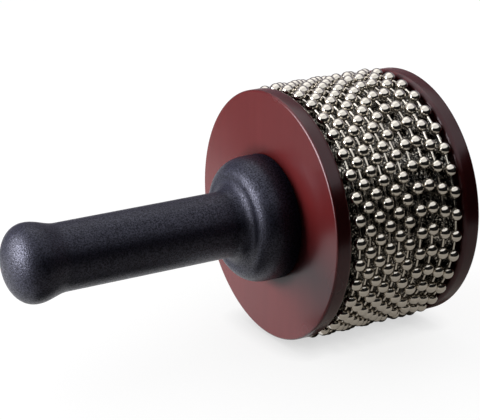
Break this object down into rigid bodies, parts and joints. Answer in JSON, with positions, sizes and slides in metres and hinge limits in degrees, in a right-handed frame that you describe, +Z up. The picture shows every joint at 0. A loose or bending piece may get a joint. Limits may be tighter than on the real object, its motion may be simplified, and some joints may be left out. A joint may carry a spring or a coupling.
{
  "type": "cabasa",
  "caption": "Hand percussion cabasa: a lacquered wooden drum with loops of metal bead chain that turn round a textured steel sleeve, on a black moulded handle with a round pommel.",
  "frame": {"origin": "on the surface that the drum lies on, under the middle of the whole length", "axes": "+X along the drum's axis from the handle to the far disc, +Z up"},
  "size_m": [0.194, 0.1108, 0.1108],
  "materials": {
    "handle_plastic": "black moulded plastic with a fine sandy grain",
    "lacquered_wood": "dark red-brown satin lacquer",
    "core_wood": "plain turned hardwood",
    "textured_steel": "embossed stainless steel",
    "nickel_beads": "polished nickel plate",
    "bolt_steel": "zinc-plated steel",
    "insert_brass": "plain turned brass"
  },
  "bodies": {
    "drum": {"handle": "handle_plastic", "handle_insert": "insert_brass", "near_disc": "lacquered_wood", "core": "core_wood", "sleeve": "textured_steel", "far_disc": "lacquered_wood", "bolt_washer": "bolt_steel", "through_bolt": "bolt_steel", "drive_pins": "bolt_steel", "far_dowels": "core_wood"},
    "nested_loops": {"bead_loop_01": "nickel_beads", "bead_loop_02": "nickel_beads", "bead_loop_03": "nickel_beads", "bead_loop_04": "nickel_beads", "bead_loop_05": "nickel_beads", "bead_loop_06": "nickel_beads"},
    "bead_loop_07": {"bead_loop_07": "nickel_beads"},
    "bead_loop_08": {"bead_loop_08": "nickel_beads"},
    "bead_loop_09": {"bead_loop_09": "nickel_beads"},
    "bead_loop_10": {"bead_loop_10": "nickel_beads"}
  },
  "joints": [
    {"name": "nested_loops_turn", "type": "hinge", "parent": "drum", "child": "nested_loops", "pos_m": [0, 0, 0.0554], "axis": [1, 0, 0], "continuous": true},
    {"name": "bead_loop_07_turn", "type": "hinge", "parent": "drum", "child": "bead_loop_07", "pos_m": [0, 0, 0.0554], "axis": [1, 0, 0], "continuous": true},
    {"name": "bead_loop_08_turn", "type": "hinge", "parent": "drum", "child": "bead_loop_08", "pos_m": [0, 0, 0.0554], "axis": [1, 0, 0], "continuous": true},
    {"name": "bead_loop_09_turn", "type": "hinge", "parent": "drum", "child": "bead_loop_09", "pos_m": [0, 0, 0.0554], "axis": [1, 0, 0], "continuous": true},
    {"name": "bead_loop_10_turn", "type": "hinge", "parent": "drum", "child": "bead_loop_10", "pos_m": [0, 0, 0.0554], "axis": [1, 0, 0], "continuous": true}
  ]
}
